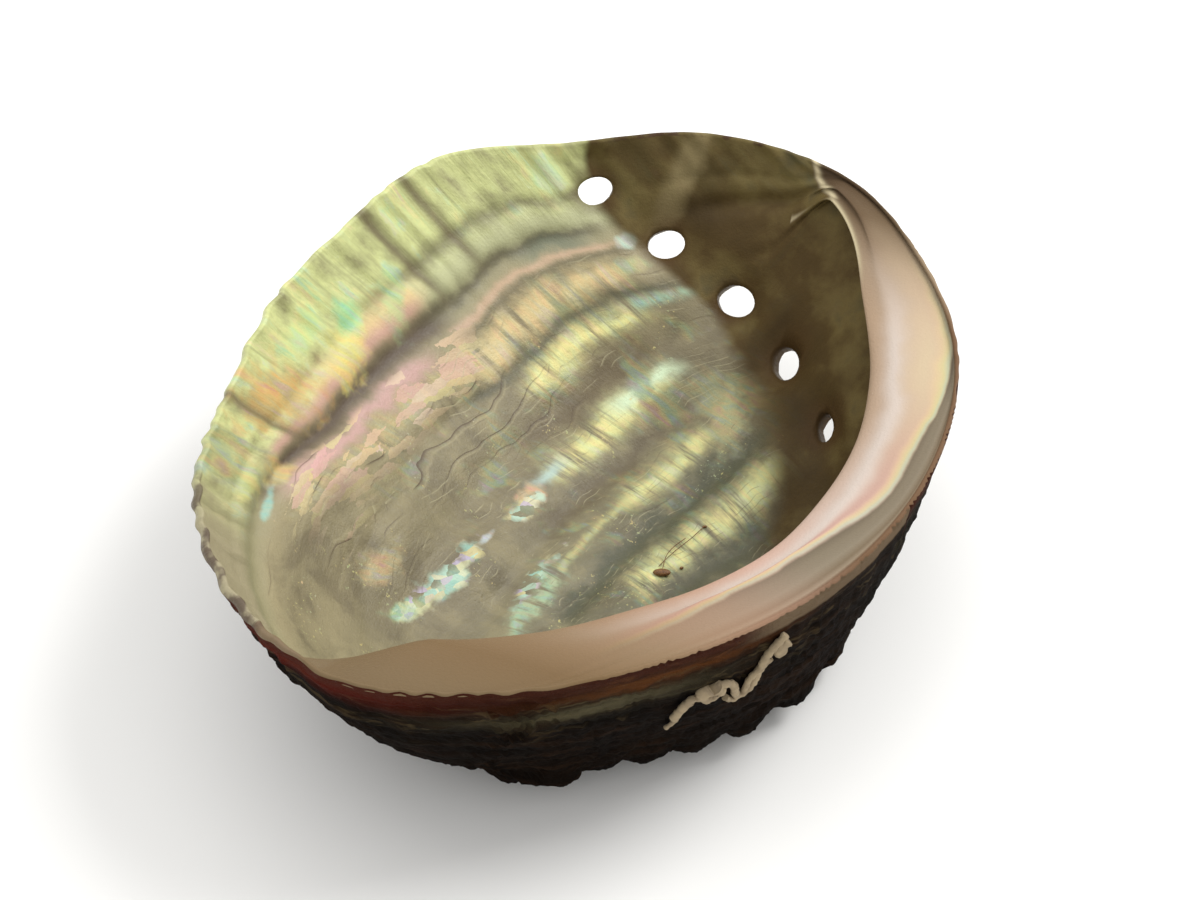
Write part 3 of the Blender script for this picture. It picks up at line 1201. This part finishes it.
def relief_tree():
    """Fine relief of the shell: lumps and growth scales on the back, ripples in the nacre."""
    n, given, result = geometry_tree("Shell Relief", {
        "Crust Height": 0.0007, "Ripple Height": 0.0002, "Seed": 0.0, "Nacre": "Material", "Crust": "Material"})
    place = n.scale(n.node("GeometryNodeInputPosition"), 1 / MM)
    place = n.vector("ADD", place, n.combine(given["Seed"], given["Seed"]))
    along = n.combine(n.times(n.named("age"), 55.0), n.times(n.named("lip"), 0.09))
    back = n.named("back_side")
    lumps = n.plus(n.centred(place, 0.28, 3.0, 0.55), n.centred(along, 1.0, 3.0, 0.6),
                   n.minus(n.strata(place, 3.0, 0.6), 0.5))
    crust = n.times(lumps, given["Crust Height"], back, n.fade(n.part(place, 2), 0.2, 3.0),
                    n.fade(n.named("inset"), 0.5, 7.0))
    ripple = n.times(n.centred(along, 0.6, 3.0, 0.6), given["Ripple Height"], n.minus(1.0, back),
                     n.fade(n.named("plate"), 0.3, 0.1))
    offset = n.scale(n.node("GeometryNodeInputNormal"), n.plus(crust, ripple))
    moved = n.node("GeometryNodeSetPosition", {"Geometry": given["Geometry"], "Offset": offset})
    real = n.node("GeometryNodeRealizeInstances", (moved,))
    crusted = n.node("GeometryNodeSetMaterial", {"Geometry": real, "Material": given["Crust"]})
    pearly = n.node("FunctionNodeCompare", (n.named("bowl_side"), 0.5), {"operation": "GREATER_THAN"})
    done = n.node("GeometryNodeSetMaterial", {"Geometry": crusted, "Selection": pearly,
                                              "Material": given["Nacre"]})
    n.fill(result, {"Geometry": done})
    return n.tree


def tube_tree():
    """Tube with growth rings along a path."""
    n, given, result = geometry_tree("Ringed Tube", {
        "Radius": 0.0009, "Rings per Metre": 900.0, "Ring Depth": 0.12, "Lumpiness": 0.0003,
        "Material": "Material"})
    curve = n.node("GeometryNodeMeshToCurve", {"Mesh": given["Geometry"]})
    curve = n.node("GeometryNodeResampleCurve", {"Curve": curve, "Length": 0.00025}, {"mode": "LENGTH"})
    length = n.node("GeometryNodeSplineParameter", (), (), 1)
    wave = n.math("SINE", n.times(length, given["Rings per Metre"], 2 * pi))
    swing = n.plus(1.0, n.times(wave, given["Ring Depth"]))
    profile = n.node("GeometryNodeCurvePrimitiveCircle", {"Resolution": 14, "Radius": given["Radius"]})
    tube = n.node("GeometryNodeCurveToMesh", {"Curve": curve, "Profile Curve": profile, "Scale": swing,
                                              "Fill Caps": True})
    lump = n.centred(n.node("GeometryNodeInputPosition"), 900.0)
    offset = n.scale(n.node("GeometryNodeInputNormal"), n.times(lump, given["Lumpiness"]))
    moved = n.node("GeometryNodeSetPosition", {"Geometry": tube, "Offset": offset})
    smoothed = n.node("GeometryNodeSetShadeSmooth", {"Geometry": moved})
    real = n.node("GeometryNodeRealizeInstances", (smoothed,))
    done = n.node("GeometryNodeSetMaterial", {"Geometry": real, "Material": given["Material"]})
    n.fill(result, {"Geometry": done})
    return n.tree


def grown(name, mesh, tree, values):
    """Plain mesh that a geometry node tree makes of a mesh, as a new object."""
    source = bpy.data.objects.new(name + "_source", mesh)
    bpy.context.scene.collection.objects.link(source)
    modifier = source.modifiers.new("grow", "NODES")
    modifier.node_group = tree
    for item in tree.interface.items_tree:
        if item.item_type == "SOCKET" and item.in_out == "INPUT" and item.name in values:
            modifier[item.identifier] = values[item.name]
    shape = source.evaluated_get(bpy.context.evaluated_depsgraph_get())
    made = bpy.data.meshes.new_from_object(shape, preserve_all_data_layers=True,
                                           depsgraph=bpy.context.evaluated_depsgraph_get())
    bpy.data.objects.remove(source)
    piece = bpy.data.objects.new(name, made)
    bpy.context.scene.collection.objects.link(piece)
    return piece


def keep_inside(piece):
    """Trim what stands out of the solids' box."""
    places = np.empty(len(piece.data.vertices) * 3, np.float32)
    piece.data.vertices.foreach_get("co", places)
    low, high = np.array(CAD_BOX)
    places = np.clip(places.reshape(-1, 3), low + BOX_MARGIN, high - BOX_MARGIN)
    places[:, 2] = np.maximum(places[:, 2], 0.0)
    piece.data.vertices.foreach_set("co", places.ravel())
    piece.data.update()


def path_mesh(name, points):
    """Mesh of edges along a path given in millimetres."""
    mesh = bpy.data.meshes.new(name)
    points = np.asarray(points) * MM
    mesh.from_pydata(points.tolist(), [(k, k + 1) for k in range(len(points) - 1)], [])
    return mesh


def floor_point(form, x, y):
    """Point and normal of the bowl above a place in plan."""
    row, angle = on_grid(np.array([x]), np.array([y]))
    plain = plain_back(row, angle)
    normal = inward(row, angle)
    age, lip = form.growth.at(plain)
    gap = gap_to(plain, form.keel)
    return (plain + normal * (WALL - waves(belt_of(age, lip), lip, gap))[:, None])[0], normal[0]


def aim(piece, target):
    """Turn a light or camera to look at a point."""
    piece.rotation_euler = (Vector(target) - piece.location).to_track_quat("-Z", "Y").to_euler()


class SHELL_OT_shell(bpy.types.Operator):
    """Build the shell with its nacre bowl and crusted back"""
    bl_idname = "shell.build_shell"
    bl_label = "Build Shell"

    def execute(self, context):
        scene = context.scene
        colors = scene.shell_colors
        form = shell_form(scene.shell_sizes)
        piece = grown("shell_body", shell_mesh(form), relief_tree(), {
            "Crust Height": scene.shell_sizes.crust_height, "Ripple Height": scene.shell_sizes.ripple_height,
            "Seed": 3.0, "Nacre": Nacre(colors).material, "Crust": crust_material(colors)})
        keep_inside(piece)
        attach(piece, "root")
        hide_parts("abalone_shell")
        return {"FINISHED"}


def back_path(form, route, count, lift):
    """Path on the outside of the back through places given as row share and degrees."""
    route = curve_through(route, count)
    rows, angles = route[:, 0], np.radians(route[:, 1])
    plain = plain_back(rows, angles)
    age, lip = form.growth.at(plain)
    out = waves(belt_of(age, lip), lip, gap_to(plain, form.keel)) + form.knobs(plain) + lift
    return plain - inward(rows, angles) * out[:, None]


class SHELL_OT_worm_tubes(bpy.types.Operator):
    """Build the limy worm tube on the back under the ledge, and two small ones beside it"""
    bl_idname = "shell.build_worm_tubes"
    bl_label = "Build Worm Tubes"

    def execute(self, context):
        scene = context.scene
        form = shell_form(scene.shell_sizes)
        radius = scene.shell_sizes.tube_radius
        chalk = chalk_material(scene.shell_colors)
        tree = tube_tree()
        for name, route, share in TUBE_ROUTES:
            path = back_path(form, route, 60, TUBE_LIFT)
            piece = grown(name, path_mesh(name + "_path", path), tree,
                          {"Radius": radius * share, "Lumpiness": 0.0004 * share, "Material": chalk})
            keep_inside(piece)
            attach(piece, "root")
            if name == "worm_tube_dressed":
                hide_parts("worm_tube")
        return {"FINISHED"}


class SHELL_OT_debris(bpy.types.Operator):
    """Lay the seed husk, the crumb and the fine hairs in the bowl"""
    bl_idname = "shell.build_debris"
    bl_label = "Build Debris"

    def execute(self, context):
        scene = context.scene
        form = shell_form(scene.shell_sizes)
        husk = seed_material()
        tree = tube_tree()
        for name, (x, y), size, turn in CRUMBS:
            place, normal = floor_point(form, x, y)
            bpy.ops.mesh.primitive_uv_sphere_add(segments=24, ring_count=12, radius=0.5)
            piece = context.object
            piece.name = name
            piece.scale = [length * MM for length in size]
            piece.rotation_euler = (0.15, -0.1, turn)
            piece.location = (place + normal * 0.4 * size[2]) * MM
            bpy.ops.object.transform_apply(location=True, rotation=True, scale=True)
            piece.data.materials.append(husk)
            piece.data.shade_smooth()
            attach(piece, "root")
        for name, route in HAIRS:
            path = [floor_point(form, x, y)[0] + np.array([0.0, 0.0, 0.15 + lift]) for x, y, lift in route]
            piece = grown(name, path_mesh(name + "_path", curve_through(path, 24)), tree,
                          {"Radius": scene.shell_sizes.hair_radius, "Ring Depth": 0.0, "Lumpiness": 0.0,
                           "Material": husk})
            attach(piece, "root")
        return {"FINISHED"}


TUBE_LIFT = 0.5
TUBE_ROUTES = (
    # name, places on the back as row share and degrees, share of the full radius
    ("worm_tube_dressed", ((0.945, 326.5), (0.91, 323.5), (0.87, 322.5), (0.832, 321.5), (0.822, 319.0),
                           (0.86, 317.5), (0.872, 315.0), (0.852, 312.0), (0.85, 309.5), (0.80, 307.0)), 1.0),
    ("worm_tube_loop", ((0.895, 324.5), (0.86, 321.0), (0.825, 320.3), (0.812, 318.2), (0.826, 316.6)), 0.8),
    ("worm_tube_coil", ((0.872, 313.8), (0.858, 314.6), (0.85, 312.9), (0.862, 311.7), (0.872, 312.8)), 1.8),
    ("worm_tube_small", ((0.84, 310.0), (0.82, 308.4), (0.79, 307.6), (0.765, 306.0)), 0.6),
    ("worm_tube_far", ((0.928, 327.2), (0.915, 325.6), (0.906, 326.2)), 1.8),
)
CRUMBS = (
    # name, place in plan, length, width and height, turn
    ("seed_husk", (11.6, 1.5), (2.7, 1.3, 0.9), 0.3),
    ("crumb", (13.8, 3.9), (0.6, 0.45, 0.4), 0.9),
    ("crumb_far", (14.0, 12.7), (0.7, 0.4, 0.35), 0.4),
)
HAIRS = (
    # name, places in plan with the height above the floor
    ("hair_long", ((10.6, 2.6, 0.1), (11.6, 5.8, 0.5), (13.0, 9.6, 0.4), (14.0, 12.7, 0.1))),
    ("hair_short", ((11.4, 2.2, 0.3), (11.0, 4.6, 0.8), (11.3, 7.0, 0.6), (12.1, 9.4, 0.2))),
)


class SHELL_OT_stage(bpy.types.Operator):
    """Build the floor, the lights and the camera"""
    bl_idname = "shell.build_stage"
    bl_label = "Build Stage"

    def execute(self, context):
        scene = context.scene
        settings = scene.shell_stage
        material, _, shader = new_material("stage_floor")
        shader.inputs["Base Color"].default_value = rgba(settings.floor_color)
        shader.inputs["Roughness"].default_value = 0.9
        bpy.ops.mesh.primitive_plane_add(size=FLOOR_SIZE, location=(0.0, 0.0, 0.0))
        floor = context.object
        floor.name = "stage_floor"
        floor.data.materials.append(material)

        right = Vector((cos(VIEW_AZIMUTH), sin(VIEW_AZIMUTH), 0.0))
        away = Vector((-sin(VIEW_AZIMUTH), cos(VIEW_AZIMUTH), 0.0))
        up = Vector((0.0, 0.0, 1.0))
        for name, place, size, share in LIGHTS:
            light = bpy.data.lights.new(name, "AREA")
            light.energy = settings.key_power * share
            light.size = size
            lamp = bpy.data.objects.new(name, light)
            scene.collection.objects.link(lamp)
            lamp.location = right * place[0] + away * place[1] + up * place[2]
            aim(lamp, LIGHT_TARGET)
        world = bpy.data.worlds.new("studio")
        world.use_nodes = True
        world.node_tree.nodes["Background"].inputs["Color"].default_value = (1.0, 1.0, 1.0, 1.0)
        world.node_tree.nodes["Background"].inputs["Strength"].default_value = settings.sky
        scene.world = world
        scene.view_settings.view_transform = "Standard"

        camera = bpy.data.objects.new("camera", bpy.data.cameras.new("camera"))
        scene.collection.objects.link(camera)
        camera.data.lens = LENS
        camera.data.clip_start = 0.01
        target = Vector(VIEW_TARGET)
        camera.location = target + VIEW_DISTANCE * (-away * cos(VIEW_ELEVATION) + up * sin(VIEW_ELEVATION))
        aim(camera, target)
        scene.camera = camera
        return {"FINISHED"}


class SHELL_PT_panel(bpy.types.Panel):
    bl_label = "Abalone Shell"
    bl_idname = "SHELL_PT_panel"
    bl_space_type = "VIEW_3D"
    bl_region_type = "UI"
    bl_category = "Shell"

    def draw(self, context):
        scene = context.scene
        for settings in (scene.shell_sizes, scene.shell_colors, scene.shell_stage):
            box = self.layout.box()
            for name in settings.__annotations__:
                box.prop(settings, name)
        for operator in OPERATORS:
            self.layout.operator(operator.bl_idname)


GROUPS = (("shell_sizes", ShellSizes), ("shell_colors", ShellColors), ("shell_stage", StageSettings))
OPERATORS = (SHELL_OT_shell, SHELL_OT_worm_tubes, SHELL_OT_debris, SHELL_OT_stage)


def register():
    for name, group in GROUPS:
        bpy.utils.register_class(group)
        setattr(bpy.types.Scene, name, bpy.props.PointerProperty(type=group))
    for cls in (*OPERATORS, SHELL_PT_panel):
        bpy.utils.register_class(cls)


def unregister():
    for cls in (SHELL_PT_panel, *reversed(OPERATORS)):
        bpy.utils.unregister_class(cls)
    for name, group in reversed(GROUPS):
        delattr(bpy.types.Scene, name)
        bpy.utils.unregister_class(group)


def main():
    register()
    bpy.ops.shell.build_shell()
    bpy.ops.shell.build_worm_tubes()
    bpy.ops.shell.build_debris()
    bpy.ops.shell.build_stage()


if __name__ == "__main__":
    main()
